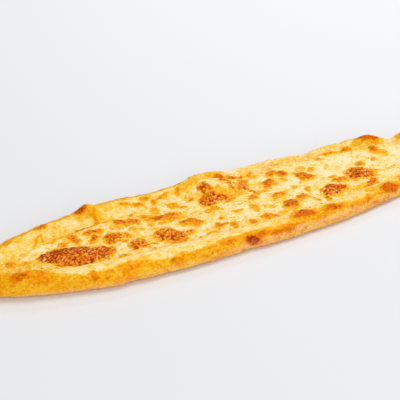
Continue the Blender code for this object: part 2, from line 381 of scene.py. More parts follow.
def half_section(x, w, side):
    """Distance off the middle line and height, at x along the loaf and w round the section."""
    wall = reach(x, side)
    edge = np.maximum(crease(x, side), CLOSED_SHARE * wall)
    near_crown, far_crown = along(x, NEAR_CROWN), along(x, FAR_CROWN)
    crown = near_crown if side < 0 else far_crown
    crown_y = wall - CROWN_SHARE * (wall - edge)
    bed_y = edge - np.minimum(UNDER_SHARE * (crown_y - edge), 0.5 * edge)
    closing = ease((np.abs(x) - TROUGH_HALF + 0.6 * TROUGH_END) / TROUGH_END)
    top_of_nose = (near_crown + far_crown) / 2 + NOSE_SWELL
    bed = BED + (top_of_nose - BED) * closing
    edge_z = CHEESE_LEVEL - CREASE_DROP
    edge_z = edge_z + (top_of_nose - edge_z) * closing
    waist = WAIST_SHARE * crown
    foot = np.minimum(FOOT, 0.45 * wall)

    a = np.clip(w, 0, 1) * np.pi / 2
    foot_y = wall - foot * (1 - np.sin(a))
    foot_z = waist * (1 - np.cos(a))
    b = np.clip(w - 1, 0, 1) * np.pi / 2
    shoulder_y = crown_y + (wall - crown_y) * np.abs(np.cos(b)) ** (2 / SHOULDER_POWER)
    shoulder_z = waist + (crown - waist) * np.abs(np.sin(b)) ** (2 / SHOULDER_POWER)
    open_share, covered_share = np.clip(w - 2, 0, 1), np.clip(w - 3, 0, 1)
    slope_y = crown_y + (edge - crown_y) * open_share + (bed_y - edge) * covered_share
    fall = (np.cos(SLOPE_TURN * open_share) - np.cos(SLOPE_TURN)) / (1 - np.cos(SLOPE_TURN))
    slope_z = edge_z + (crown - edge_z) * fall + (bed - edge_z) * ease(covered_share)
    bed_line_y = bed_y * (1 - np.clip(w - 4, 0, 1))

    y = np.where(w <= 1, foot_y, np.where(w <= 2, shoulder_y, np.where(w <= 4, slope_y, bed_line_y)))
    z = np.where(w <= 1, foot_z, np.where(w <= 2, shoulder_z, np.where(w <= 4, slope_z, bed)))
    return y, z


def tip_squeeze(x):
    """1 along the loaf, and the height of a quarter circle over the last stretch to each tip."""
    past = np.clip((np.abs(x) - HALF + TIP_LENGTH) / TIP_LENGTH, 0, 1)
    return np.sqrt(1 - past**2)


def bread_point(x, w, side):
    """The section with its relief on top, drawn in to a blunt nose at each tip."""
    y, z = half_section(x, w, side)
    y = side * y
    z = z + bread_relief(x, y) * ease((w - 1.25) / 0.6)
    return y, NOSE_HEIGHT + (z - NOSE_HEIGHT) * tip_squeeze(x)


near_top = bread_point(np.zeros(1), np.array([2.0]), -1)[1][0]
print("near rim", round(float(near_top), 1), "mm high at the middle")

# %% [markdown]
# ## Noise made of numbers
#
# No two spots of a baked crust are alike, so smooth formulas need something irregular on top. Value
# noise is the simplest kind: random numbers on a square lattice, joined by eased steps. Turning and
# halving the lattice a few times adds finer and finer detail, and the places where the sum crosses
# zero make thin winding veins. A second kind measures the distance to scattered points, which gives
# the cells of bubbling cheese and small round freckles. All are seeded, so each run gives the same
# loaf.

# %% Noise
LATTICE = 256
FINER_SHARE = 0.55  # how strong each finer layer is beside the one before
VEIN_WIDTH = 0.09


def speckle(x, y, size, seed):
    """Random values from -1 to 1 on a lattice, size mm apart, blended between its four corners."""
    lattice = np.random.default_rng(seed).uniform(-1, 1, (LATTICE, LATTICE))
    u, v = x / size, y / size
    i, j = np.floor(u).astype(int), np.floor(v).astype(int)
    f, g = ease(u - i), ease(v - j)
    i, j, i_next, j_next = [n % LATTICE for n in (i, j, i + 1, j + 1)]
    low = lattice[i, j] * (1 - f) + lattice[i_next, j] * f
    high = lattice[i, j_next] * (1 - f) + lattice[i_next, j_next] * f
    return low * (1 - g) + high * g


def layers(x, y, size, seed, count=3):
    """Speckle on top of speckle: each layer is turned, half as large and about half as strong."""
    total, strength = 0.0, 1.0
    for layer in range(count):
        u, v = turned(x, y, 0.9 + 1.3 * layer)
        total = total + strength * speckle(u, v, size / 2**layer, seed + layer)
        strength *= FINER_SHARE
    return total / 1.6


def cells(x, y, size, seed):
    """1 at scattered points, one to a lattice square, falling to 0 between; and each one's chance."""
    random = np.random.default_rng(seed)
    shift_x, shift_y = random.uniform(0.1, 0.9, (2, LATTICE, LATTICE))
    chance = random.uniform(0, 1, (LATTICE, LATTICE))
    u, v = x / size, y / size
    i, j = np.floor(u).astype(int), np.floor(v).astype(int)
    nearest = np.full(np.broadcast(u, v).shape, 9.0)
    drawn = np.zeros_like(nearest)
    for di in (-1, 0, 1):
        for dj in (-1, 0, 1):
            a, b = (i + di) % LATTICE, (j + dj) % LATTICE
            distance = np.hypot(i + di + shift_x[a, b] - u, j + dj + shift_y[a, b] - v)
            drawn = np.where(distance < nearest, chance[a, b], drawn)
            nearest = np.minimum(nearest, distance)
    return np.clip(1 - nearest / 0.75, 0, 1), drawn


def veins(x, y, size, seed):
    """Thin winding lines: 1 where layered noise crosses zero, falling off steeply to each side."""
    return np.clip(1 - np.abs(layers(x, y, size, seed, 2)) / VEIN_WIDTH, 0, 1)


def freckles(x, y, size, share, seed):
    """Small round spots in a share of the lattice squares, each as strong as its own chance."""
    near, chance = cells(x, y, size, seed)
    return ease((near - 0.55) / 0.3) * np.clip(1 - chance / share, 0, 1) ** 0.5


test = layers(np.linspace(0, 400, 4001), np.zeros(4001), 5.0, 1)
print("noise runs from", round(float(test.min()), 2), "to", round(float(test.max()), 2))

# %% [markdown]
# ## Spots that the oven browned
#
# Where cheese or dough bulges, the oven's heat catches it first, so each browned spot is both a
# colour and a low blister. The spots are listed one by one: a place, a size, a turn, how brown it
# is and how high it stands. The places are bent a little by noise before they are measured, so that
# no spot is a clean ellipse, and each has a golden halo where the browning runs out.

# %% Spot helper
FRINGE_TONE = 0.56  # the most that a spot's golden fringe is browned
GLOW_REACH = 8.0  # how far round a spot the butter is browned with it, in mm


def browning(x, y, spots, bend, soft, seed):
    """How brown, how high and how near a spot each point is: the strongest spot wins.

    A spot is a golden fringe, soft mm wide, round a brown core that leans a little to the far side.
    """
    bent_x = x + bend * layers(x, y, 8.0, seed, 4)
    bent_y = y + bend * layers(x, y, 8.0, seed + 20, 4)
    uneven = 1 + 0.3 * layers(x, y, 4.0, seed + 40)
    brown, height, glow = np.zeros((3, *np.broadcast(x, y).shape))
    for cx, cy, half_length, half_width, degrees, strength, size in spots:
        a = np.radians(degrees)
        u, v = turned(bent_x - cx, bent_y - cy, a)
        u, v = u / half_length, v / half_width
        narrow = min(half_length, half_width)
        inside = (1.18 - np.hypot(u, v)) * narrow
        lean = 0.5 * v * np.cos(a) + 0.5 * u * np.sin(a)
        fringe = min(strength, FRINGE_TONE) * ease((inside + 0.8 * soft) / soft)
        core = max(1.2 * strength - 0.64, 0) * ease((inside + soft * (lean - 0.1)) / soft) * uneven
        brown = np.maximum(brown, fringe + core)
        largeness = min(1, half_length * half_width / 20)
        around = strength * ease((inside + GLOW_REACH) / (GLOW_REACH + 1)) * largeness
        glow = np.maximum(glow, around)
        height = height + size * ease((inside + 1.2) / (1.2 + 0.8 * narrow))
    return brown, height, glow


def butter_streaks(x, y):
    """How the butter ran: slow patches, smaller ones and thin veins, from about -0.7 to 0.7."""
    patches = 0.75 * layers(x, 1.4 * y, 9.0, 181) + 0.55 * layers(x, 1.3 * y, 3.2, 183)
    return patches + 0.4 * veins(0.8 * x, 1.5 * y, 11.0, 186)


sample = browning(np.zeros(1), np.zeros(1), ((0, 0, 5, 4, 0, 0.8, 0.5),), 0.0, 2.0, 61)
print("a spot of 0.8 is", round(float(sample[0][0]), 2), "brown in its middle")

# %% [markdown]
# ## Meshes from grids of points
#
# Both pieces are tubes: rings of points along x, joined to their neighbours by four-sided faces and
# closed by a fan at each tip. The points are worked out as whole arrays, and numbers that the
# materials will need, such as how brown each point is, go into the mesh as attributes.

# %% Mesh helpers
def outward(points):
    """The unit normal at each point: the step along the loaf crossed with the step round it."""
    step_along = np.gradient(points, axis=0)
    step_round = np.roll(points, -1, 1) - np.roll(points, 1, 1)
    normal = np.cross(step_along, step_round)
    return normal / np.maximum(np.linalg.norm(normal, axis=-1, keepdims=True), 1e-9)


def tube_mesh(name, points, ends, values):
    """Rings of points and two end points as one closed mesh, with one number per point for each value."""
    rows, loop = points.shape[:2]
    i, j = np.meshgrid(np.arange(rows - 1), np.arange(loop), indexing="ij")
    k = (j + 1) % loop
    quads = np.stack([i * loop + j, (i + 1) * loop + j, (i + 1) * loop + k, i * loop + k], -1)
    quads = quads.reshape(-1, 4)
    ring = np.arange(loop)
    after = (ring + 1) % loop
    last = (rows - 1) * loop
    first_fan = np.stack([ring, after, np.full(loop, rows * loop)], -1)
    last_fan = np.stack([last + after, last + ring, np.full(loop, rows * loop + 1)], -1)
    corners = np.concatenate([points.reshape(-1, 3), ends]) - np.array([0, CENTRE_Y, 0])
    mesh = bpy.data.meshes.new(name)
    faces = quads.tolist() + first_fan.tolist() + last_fan.tolist()
    mesh.from_pydata((corners * MM).tolist(), [], faces)
    mesh.shade_smooth()
    for label, value in values.items():
        numbers = np.concatenate([value.reshape(-1), [value[0].mean(), value[-1].mean()]])
        attribute = mesh.attributes.new(label, "FLOAT", "POINT")
        attribute.data.foreach_set("value", numbers.astype(np.float32))
    print(name, "has", 2 * len(quads) + 2 * loop, "triangles")
    return add_object(name, mesh)


def row_places(rows):
    """Places along the loaf, five times closer together at the tips than in the middle."""
    last = HALF - TIP_INSET
    x = np.linspace(-last, last, 4001)
    density = 1 + 4 * ease((np.abs(x) - 0.93 * last) / (0.07 * last))
    travelled = np.concatenate([[0], np.cumsum((density[1:] + density[:-1]) / 2)])
    return np.interp(np.linspace(0, travelled[-1], rows), travelled, x)


BREAD_ROWS = 690
print("rows are", round(float(np.diff(row_places(BREAD_ROWS)).max()), 2), "mm apart at most")

# %% [markdown]
# ## The crust's grid
#
# The bread is one closed skin: up the near wall, over the rim, across under the cheese, over the
# far rim and back along the flat base. The columns are crowded where the crust shows and sparse
# where the cheese hides it. Beside x, each point knows how far out from the crease it lies along
# the surface. That distance is the natural ruler for the crust's colours, because the oven saw the
# crown first and the foot last.

# %% Crust grid
STRETCH_STEPS = (9, 26, 22, 5, 3)  # foot, shoulder, open slope, covered slope, bed
BASE_STEPS = 9


def section_places(steps):
    """The places w round half a section, foot to middle line."""
    places = [0.0]
    for stretch, count in enumerate(steps):
        places += [stretch + (i + 1) / count for i in range(count)]
    return np.array(places)


def crust_grid():
    """Rings of points; for each point its side, its w, and how far out it is from crease and crown."""
    x = row_places(BREAD_ROWS)[:, None]
    w = section_places(STRETCH_STEPS)
    near_y, near_z = bread_point(x, w[None, :], -1)
    far_y, far_z = bread_point(x, w[None, :], 1)
    ring_y = np.concatenate([near_y, far_y[:, -2::-1]], 1)
    ring_z = np.concatenate([near_z, far_z[:, -2::-1]], 1)
    share = np.arange(1, BASE_STEPS + 1)[None, :] / (BASE_STEPS + 1)
    base_y = ring_y[:, -1:] + (ring_y[:, :1] - ring_y[:, -1:]) * share
    base_z = ring_z[:, -1:] + (ring_z[:, :1] - ring_z[:, -1:]) * share
    ring_y, ring_z = np.concatenate([ring_y, base_y], 1), np.concatenate([ring_z, base_z], 1)
    points = np.stack([np.broadcast_to(x, ring_y.shape), ring_y, ring_z], -1)
    steps = np.linalg.norm(np.diff(points, axis=1), axis=-1)
    walked = np.concatenate([np.zeros((len(x), 1)), np.cumsum(steps, 1)], 1)
    near_crease = int(np.argmin(np.abs(w - 3)))
    far_crease = 2 * len(w) - 2 - near_crease
    on_far = np.arange(points.shape[1])[None, :] >= len(w)
    out = np.where(on_far, walked - walked[:, [far_crease]], walked[:, [near_crease]] - walked)
    place = np.concatenate([w, w[-2::-1], np.zeros(BASE_STEPS)])[None, :]
    crown = int(np.argmin(np.abs(w - 2)))
    far_crown_out = walked[:, [2 * len(w) - 2 - crown]] - walked[:, [far_crease]]
    crown_out = np.where(on_far, far_crown_out, walked[:, [near_crease]] - walked[:, [crown]])
    on_far, place = np.broadcast_to(on_far, out.shape), np.broadcast_to(place, out.shape)
    return points, on_far, place, out, out - crown_out


crust_points, crust_far, crust_w, crust_out, crust_past = crust_grid()
crust_x, crust_y = crust_points[..., 0], crust_points[..., 1]
middle_slope = float((crust_out - crust_past)[BREAD_ROWS // 2, 0])
print("slope from crease to crown is", round(middle_slope, 1), "mm at the middle")

# %% [markdown]
# ## Where the crust is brown
#
# Along its crown the rim stayed pale, because melted cheese ran over it. Below the crown the bare
# dough baked to a bright gold, and down by the foot it lay on the oven's stone in flour, which left
# a pale, rough strip that narrows to a thin line at the left tip. Along the near foot that pale is
# partly flour and partly painted light on the shaded underside, and the lowest edge is dark brown,
# partly baked on the stone and partly painted shade. Domes on the near rim and the humps of the far
# rim caught the heat and went brown. A dark line along the far crease is painted shade.

# %% Spots on the rim
# Near rim: x, distance out from the crease, half length, half width, turn, browning, height
NEAR_SPOTS = (
    (-226, 9, 6, 12, 0, 0.66, 0.3),
    (-229, 19.5, 8, 5.5, 0, 0.78, 0.3),
    (-213, 17, 7, 3.5, 0, 0.72, 0.2),
    (-213, 24, 12, 5, 0, 0.6, 0.0),
    (-172, 28, 3.5, 4.5, 0, 0.8, -0.3),
    (-164, 30, 2.5, 4, 0, 0.7, 0.0),
    (-172, 33, 3, 1.5, 0, 0.82, 0.0),
    (-157, 26, 4, 1.1, -10, 0.82, 0.0),
    (-140, 26, 12, 3.4, 0, 0.62, 0.0),
    (-85, 28, 9, 2, 0, 0.64, 0.0),
    (-46, 26, 11, 2.6, 0, 0.72, 0.0),
    (-18, 25, 15, 3.8, 0, 0.8, 0.3),
    (-24, 29, 7.5, 6, 0, 0.98, -0.5),
    (-17, 32, 5, 2.2, 0, 0.86, 0.0),
    (2, 26.5, 16, 3, 0, 0.76, 0.0),
    (14, 28, 6, 4, 0, 0.8, 0.0),
    (36, 17, 12, 5.5, 0, 0.84, 0.6),
    (66, 18.5, 14, 3.8, 0, 0.84, 0.5),
    (50, 25, 14, 2, 0, 0.7, 0.0),
    (95, 22, 14, 2.4, 0, 0.68, 0.0),
    (107, 20.5, 4.5, 3, -30, 0.8, 0.2),
    (113, 26, 6, 2.4, 0, 0.76, 0.0),
    (136, 17, 11, 6, 10, 0.84, 0.5),
    (124, 18.5, 4, 2.5, 0, 0.72, 0.0),
    (118, 12, 6, 3, 0, 0.5, 0.0),
    (154, 12, 3, 5, 0, 0.72, 0.0),
    (165, 19, 14, 4, 0, 0.64, 0.0),
)
# Far rim: the same columns
FAR_SPOTS = (
    (-218, 17, 4, 3, 0, 0.62, 0.2),
    (-183, 18, 5, 4, 0, 0.74, 0.3),
    (-152, 21, 12, 2, 0, 0.55, 0.0),
    (-142, 20.5, 6.5, 6, 20, 0.86, 0.5),
    (-131, 16, 2.5, 1.4, 0, 0.62, 0.0),
    (-132, 1, 3, 2, 0, 0.82, 0.2),
    (-195, 3, 4, 0.9, 35, 0.76, -0.3),
    (-187, 4.5, 0.9, 2.6, 0, 0.74, -0.3),
    (-190, 8, 4, 0.8, 20, 0.6, -0.2),
    (-99, 12, 5.5, 1.4, -20, 0.78, 0.1),
    (-88, 8, 4.5, 1.6, -15, 0.8, 0.1),
    (-80, 12, 4.5, 2.4, 0, 0.66, 0.1),
    (-72, 6, 3, 2.2, 0, 0.68, 0.1),
    (-61, 10, 5, 1.6, 15, 0.6, 0.1),
    (-45, 12, 2.6, 1.5, 0, 0.74, 0.1),
    (2, 1, 5, 3, 0, 0.78, 0.2),
    (15, 1.5, 5, 1.6, 0, 0.9, 0.2),
    (-42, 20, 14, 2.2, 0, 0.6, 0.0),
    (-46, 9, 3.5, 2, 30, 0.7, 0.1),
    (24, 0, 3, 2, 40, 0.76, 0.2),
    (33, 1, 4, 1.5, 30, 0.66, 0.1),
    (66, 5, 3, 0.8, -25, 0.4, 0.0),
    (72, 4, 3, 0.8, -25, 0.4, 0.0),
    (75, 7, 3, 0.8, -20, 0.4, 0.0),
    (125, 3, 7, 0.9, 0, 0.84, 0.1),
    (145.5, 2.2, 6.5, 2.5, 0, 0.82, 0.3),
    (161, 7, 6, 3, 0, 0.5, 0.1),
    (174, 12.5, 12, 6, 0, 0.86, 0.4),
    (178, 7, 5, 3, 0, 0.56, 0.1),
    (208, 9, 6, 5, 0, 0.56, 0.2),
)
print(len(NEAR_SPOTS), "spots on the near rim and", len(FAR_SPOTS), "on the far one")

# %% Pale band and floury strip
# x, and how far past the crown the pale band ends or the floury strip starts on the near wall
PALE_BAND = (
    (-250, -12),
    (-212, -10),
    (-202, 3),
    (-180, 9),
    (-168, 8),
    (-160, 10),
    (-143, 5),
    (-124, 10),
    (-92, 10),
    (-66, 7),
    (-40, 8),
    (-25, 4.5),
    (10, 4.5),
    (22, 2),
    (60, 5),
    (100, 4.5),
    (150, 4),
    (250, 3),
)
FLOURY_FROM = ((-190, 19), (-150, 17), (-80, 16), (-30, 14), (0, 13), (40, 11), (60, 10), (150, 9))
FAR_BAND = 1.6  # the same two distances on the far rim
FAR_FLOUR = 11.0
print("pale band and floury strip run from", PALE_BAND[0][0], "to", PALE_BAND[-1][0], "mm")


# %% Baked dough and its spots
def bare_dough(x, out, past, ragged):
    """How far the dough is baked, and its tone: pale on the crown, gold and streaked below it, dark at
    the foot.
    """
    band = np.where(crust_far, FAR_BAND, along(x, PALE_BAND)) + ragged
    baked = ease((past - band + 1.0) / 4.0)
    tone = 0.06 + 0.1 * layers(x, out, 12.0, 51) + 0.45 * baked
    streaks = 0.24 * layers(x, 2.2 * out, 7.0, 47) + 0.3 * veins(0.5 * x, 1.4 * out, 6.0, 49)
    tone = tone + streaks * baked * (0.35 + 0.65 * ease((x + 170) / 80))
    # the lowest foot turns dark brown: partly the underside baked on the stone, partly painted shade for
    # the dark line under the edge
    return baked, np.maximum(tone, 1.05 * ease((0.4 - crust_w) / 0.2))


crust_ragged = 1.3 * layers(crust_x, 2.5 * crust_out, 14.0, 41)
crust_ragged = crust_ragged + 0.7 * layers(crust_x, crust_out, 3.0, 44)
crust_baked, crust_ground = bare_dough(crust_x, crust_out, crust_past, crust_ragged)
near_brown, near_height, near_glow = browning(crust_x, crust_out, NEAR_SPOTS, 2.4, 3.2, 61)
far_brown, far_height, far_glow = browning(crust_x, crust_out, FAR_SPOTS, 1.4, 2.0, 71)
crust_spots = np.where(crust_far, far_brown, near_brown)
crust_spot_height = np.where(crust_far, far_height, near_height)
print("baked part of the crust", round(float((crust_baked > 0.5).mean()), 2))


# %% Crust tone
def fold_tone(x, y, out, wander):
    """Brown along the fold: it widens up the ridge, and fades below its foot and past its top."""
    rise, off = fold_rise(x, y)
    across_fold = np.abs(off - 0.05 + 0.45 * rise + wander)
    on_fold = ease((0.5 + 0.7 * rise - across_fold) / 0.35)
    on_fold = on_fold * ease(rise * 3 + 0.6) * ease((1.5 - rise) / 0.3)
    return crust_far * on_fold * (0.66 - 0.3 * rise + 0.3 * layers(x, out, 3.0, 59))


def crust_tone(x, y, out, past):
    """The strongest of ground, spots, fold and a painted shade line along the far crease; freckles, a
    pale left rim, golden tips.
    """
    wander = 0.3 * layers(x, out, 5.0, 57)
    tone = np.maximum(np.maximum(crust_ground, crust_spots), fold_tone(x, y, out, wander))
    # painted shade: a dark line just out from the far crease, where rim and cheese meet
    painted_crease_shade = ease((1.1 - np.abs(out - 1.0 + wander)) / 0.9)
    painted_crease_shade = painted_crease_shade * ease((x + 185) / 9) * ease((-95 - x) / 40)
    tone = np.maximum(tone, 0.9 * painted_crease_shade * crust_far)
    tone = tone + 0.2 * freckles(x, out, 4.2, 0.3, 53) * (crust_w > 0.8)
    rim_light = ~crust_far * dome(past, x, -1, -205, 5, 45)
    tone = tone - 0.3 * rim_light * (crust_spots < 0.4)
    tip = ease((np.abs(x) - 236) / 26)
    return np.clip(tone + (0.7 - tone) * 0.6 * tip, 0, 1.1)


crust_brown = crust_tone(crust_x, crust_y, crust_out, crust_past)
print("browning of the crust: mean", round(float(crust_brown.mean()), 2))


# %% Flour and butter
def flour_and_foot_light(x, past):
    """Flour from where the strip starts, less on the left and on brown spots; on the near foot, flour and
    painted light.
    """
    start = np.where(crust_far, FAR_FLOUR, along(x, FLOURY_FROM))
    flour = ease((past - start - crust_ragged) / 3.0)
    flour = flour * (0.3 + 0.7 * ease((x + 70) / 60) - 0.25 * ease((x - 50) / 60))
    flour = flour * (1 - 0.7 * ease((crust_spots - 0.5) / 0.3))
    # on the near foot the pale flour colour is also painted light on its shaded underside
    return np.maximum(flour, 1.3 * ease((0.9 - crust_w) / 0.3) * ~crust_far)


def crust_buttering(x, y, out):
    """Butter round the spots, on baked dough, on the swelling's flank and on the fold, streaked."""
    far_butter = 0.36 + 0.2 * ease((-60 - x) / 60) + 0.4 * far_glow
    butter = np.where(crust_far, far_butter, 0.4 + 0.3 * near_glow) + 0.5 * crust_baked
    flank = crust_far * ease((x + 48) / 9) * ease((4 - x) / 12) * ease((out + 4) / 6)
    hollow = crust_far * dome(x, out, -153, 9, 16, 9)
    right_hump = crust_far * dome(x, out, 170, 2, 24, 12)
    butter = butter + 0.9 * flank - 0.3 * hollow + 0.5 * right_hump
    butter = butter + 0.8 * fold(x, y) / FOLD_HEIGHT + 0.8 * butter_streaks(x, y)
    return np.clip(butter, -0.3, 1.4)


crust_flour_and_foot_light = flour_and_foot_light(crust_x, crust_past)
crust_butter = crust_buttering(crust_x, crust_y, crust_out)
print("floury part of the crust", round(float((crust_flour_and_foot_light > 0.5).mean()), 2))

# %% [markdown]
# ## The crust's relief
#
# The skin of the rim is drawn and slightly wrinkled along its length, with dimples where small
# bubbles broke, and the floury strip is coarse. These are real shapes, so the points are moved
# along their normals by a height made of noise. The base stays flat, because the loaf rests on it.

# %% Crust relief and mesh
def crust_relief(x, out):
    """Height in mm along the normal: slow lumps, drawn wrinkles, broken bubbles, coarse flour."""
    lumps = 0.7 * layers(x, out, 13.0, 81) + 0.6 * layers(0.6 * x, 1.5 * out, 4.5, 84)
    lumps = lumps + 2.2 * crust_far * dome(x, out, -144, 19, 9, 9)
    wrinkles = -0.6 * veins(0.4 * x, 1.2 * out, 5.0, 87)
    wrinkles = wrinkles - 0.5 * veins(0.5 * x, 1.4 * out, 6.0, 49)
    dimples = -0.6 * freckles(x, out, 9.0, 0.35, 88)
    coarse = crust_flour_and_foot_light * (0.35 * layers(x, out, 1.9, 90) + 0.25 * (cells(x, out, 2.2, 93)[0] - 0.5))
    height = lumps + wrinkles * (1 - crust_flour_and_foot_light) + dimples + coarse + crust_spot_height
    shown = ease((crust_w - 0.15) / 0.5) * (crust_w < 4) * ease((tip_squeeze(x) - 0.1) / 0.5)
    return height * shown


crust_height = crust_relief(crust_x, crust_out)
crust_moved = crust_points + outward(crust_points) * crust_height[..., None]
crust_moved[..., 2] = np.maximum(crust_moved[..., 2], crust_points[..., 2].min())
noses = np.array([[-HALF, 0, NOSE_HEIGHT], [HALF, 0, NOSE_HEIGHT]])
# the flour value also holds painted light on the near foot
crust_values = {"brown": crust_brown, "flour": crust_flour_and_foot_light, "butter": crust_butter}
crust = tube_mesh("bread_crust", crust_moved, noses, crust_values)
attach(crust, "root")
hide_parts("bread")

# %% [markdown]
# ## Where the cheese is brown
#
# The cheese is the show of a pide: a cream-coloured ground, a few big grainy patches where it
# blistered, and dozens of smaller brown and golden spots between them. They are listed in four
# kinds, from the largest to thin dark marks, because each kind has its own grain and height.

# %% Cheese spots
# x, y, half length, half width, turn, browning, height
GRAINY_PATCHES = (
    (-193, -5, 10, 8, -20, 0.9, 0.3),
    (-180, -3, 12, 8, -20, 0.92, 0.3),
    (-166, -8, 11, 7.5, -15, 0.9, 0.3),
    (-149, -18, 10, 10.5, -20, 0.82, 0.3),
    (-158, -16, 10, 9, -20, 0.84, 0.1),
    (-173, -18, 15, 8, -10, 0.84, 0.1),
    (-184, -18, 10, 7.5, -20, 0.78, 0.1),
    (-169, -26, 12, 6, -5, 0.74, 0.1),
    (-23, 26, 6, 5.6, 15, 0.76, 0.7),
    (-26, 13.5, 9, 6.5, -15, 0.78, 0.4),
    (-16, 13, 9, 6.5, -15, 0.75, 0.3),
    (-17, 20, 9, 4, 15, 0.5, 0.1),
    (-11, 8, 6, 3.4, 0, 0.62, 0.2),
    (0, 15, 11, 7, 15, 0.48, 0.3),
    (10, 15, 6, 6, 0, 0.5, 0.2),
    (3, 38, 5, 4, 0, 0.8, 0.3),
    (5.5, 29, 2.4, 5, 8, 0.84, 0.4),
    (6, 22, 2.4, 4, 0, 0.72, 0.3),
    (13, 30, 1.3, 5, 25, 0.7, 0.2),
    (16, 21, 5, 6.5, -20, 0.84, 0.5),
    (22, 31, 3.4, 3, 0, 0.8, 0.4),
    (20, 11, 2.6, 6, 20, 0.66, 0.2),
    (-129, -2, 10, 7.5, -15, 0.76, 0.5),
    (-116, -21, 8.5, 7, 0, 0.78, 0.4),
    (-84.5, -21.5, 14, 9, -40, 0.76, 0.5),
    (91, -24, 12, 8.6, 0, 0.88, 0.6),
    (130, -11, 13, 9.6, -15, 0.82, 0.5),
    (140, -9, 5, 3, -10, 0.74, 0.2),
)
BROWN_BLISTERS = (
    (-119, -3, 5, 4, -20, 0.72, 0.4),
    (-141, 16, 7.5, 3.8, -5, 0.82, 0.5),
    (-145, 5, 6.5, 3.3, 40, 0.84, 0.5),
    (-226, 2, 3.6, 5, 25, 0.66, 0.4),
    (-114, 19, 4.5, 6.5, 35, 0.82, 0.5),
    (-103, 16, 6, 5, -10, 0.76, 0.5),
    (-101, 28.5, 3, 2.5, 0, 0.72, 0.4),
    (-67, 9, 6.5, 3.8, 0, 0.8, 0.4),
    (-76, 8, 14, 3.6, -20, 0.8, 0.4),
    (-90, 19, 5, 3, -50, 0.66, 0.3),
    (-61, -9, 6, 4.8, 0, 0.8, 0.5),
    (-54, -14, 6.5, 4, 5, 0.76, 0.4),
    (-67, -25, 4.8, 3.3, 0, 0.76, 0.4),
    (-36, -28, 5, 3, -10, 0.78, 0.5),
    (-26, -35, 2.8, 4.5, 0, 0.78, 0.4),
    (-40, 23, 3.6, 2, -20, 0.84, 0.2),
    (40, 16, 8.5, 5, 40, 0.8, 0.6),
    (54, 33, 7.5, 5, 45, 0.72, 0.5),
    (62, 25, 5.5, 4.5, -20, 0.84, 0.6),
    (38, -7.5, 7, 4.3, 0, 0.74, 0.5),
    (38, -28, 8, 6.3, 10, 0.82, 0.6),
    (56, -21, 6, 4.2, 10, 0.74, 0.6),
    (77, 15, 5.5, 6, 20, 0.82, 0.6),
    (83, 7, 6.5, 4.5, -10, 0.8, 0.5),
    (75, 8, 4, 4, 0, 0.72, 0.4),
    (105, -10.5, 6.3, 4.5, 0, 0.74, 0.5),
    (141, 6, 5, 3.4, 0, 0.78, 0.5),
    (128, -31, 10, 4, 20, 0.76, 0.5),
    (135, -28, 3, 3, 0, 0.82, 0.2),
    (172, 25, 9, 5.5, 52, 0.8, 0.5),
    (8, -35, 4, 4, 0, 0.7, 0.4),
    (13, -37, 4, 2.6, -10, 0.78, 0.3),
    (-8, -36, 3.4, 4, 20, 0.72, 0.4),
)
GOLDEN_SPOTS = (
    (-213, -2, 4, 2.4, 0, 0.6, 0.2),
    (-180, 21, 3.6, 4, 0, 0.46, 0.2),
    (-173, 11, 4.2, 3.4, 0, 0.66, 0.3),
    (-162.5, 12, 3.4, 8.5, 5, 0.76, 0.3),
    (-136, -31, 4.5, 1.8, 0, 0.6, 0.2),
    (-121, 14, 5, 3.6, 0, 0.46, 0.2),
    (-110, 4, 4, 3, 0, 0.5, 0.2),
    (-103, -27, 3.2, 2.2, 0, 0.64, 0.2),
    (-122, -35, 5, 2, 0, 0.44, 0.2),
    (-95, -39, 4, 2.4, 0, 0.54, 0.1),
    (-80, 1, 4, 2.2, 0, 0.54, 0.2),
    (-70, 2, 3.2, 2, 0, 0.58, 0.2),
    (-90, 5, 3, 4, 0, 0.46, 0.2),
    (-77, 24, 3, 6, -10, 0.6, 0.3),
    (-57, 24, 5, 5.5, 20, 0.6, 0.3),
    (-51, 16, 4.2, 2.4, -20, 0.68, 0.2),
    (-35, -1, 4, 2.8, 0, 0.58, 0.2),
    (-26, 0, 6, 2.6, -35, 0.6, 0.2),
    (-31, -18, 2.2, 2, 0, 0.62, 0.1),
    (-9, -13, 4, 2.4, 0, 0.62, 0.2),
    (6.5, -17, 2.6, 6, 0, 0.64, 0.3),
    (22, -23, 2.4, 2.2, 0, 0.5, 0.1),
    (26, -36, 2.6, 2, 0, 0.56, 0.1),
    (15, 0, 4.6, 3.8, 0, 0.66, 0.3),
    (21, 8, 2.2, 5, 0, 0.5, 0.2),
    (30, 6, 4.6, 2.2, 0, 0.62, 0.2),
    (34, 37, 4, 3.2, 30, 0.58, 0.2),
    (57, 16, 2.4, 2.2, 0, 0.62, 0.1),
    (58, -1.5, 2.6, 2.6, 0, 0.56, 0.1),
    (68, -11, 3.6, 3.3, 0, 0.58, 0.2),
    (49, -23, 4, 2.4, 0, 0.56, 0.2),
    (62, -26, 1.6, 4, 25, 0.44, 0.2),
    (64.5, -32, 1.8, 2.4, 0, 0.64, 0.1),
    (76, -37, 3, 2.6, 0, 0.62, 0.2),
    (83, 25, 5, 3.6, 0, 0.42, 0.2),
    (92, 19, 3, 3, 0, 0.56, 0.1),
    (103, -3, 3.2, 2.3, 0, 0.6, 0.2),
    (81, -27, 4, 5, 0, 0.6, 0.2),
    (97, -40, 3, 1.8, 0, 0.44, 0.1),
    (111, 34, 3, 2.8, 0, 0.62, 0.2),
    (120, -10, 4, 8, 0, 0.6, 0.2),
    (117, -31, 5, 2, 0, 0.5, 0.1),
    (134, -32, 2.4, 2, 0, 0.58, 0.1),
    (159, 9.5, 2.8, 2.6, 0, 0.56, 0.2),
    (175, 15, 4, 4.3, 0, 0.52, 0.3),
    (165, -14, 5, 2.8, 20, 0.42, 0.2),
    (-215, 37, 3, 3, 0, 0.6, 0.2),
)
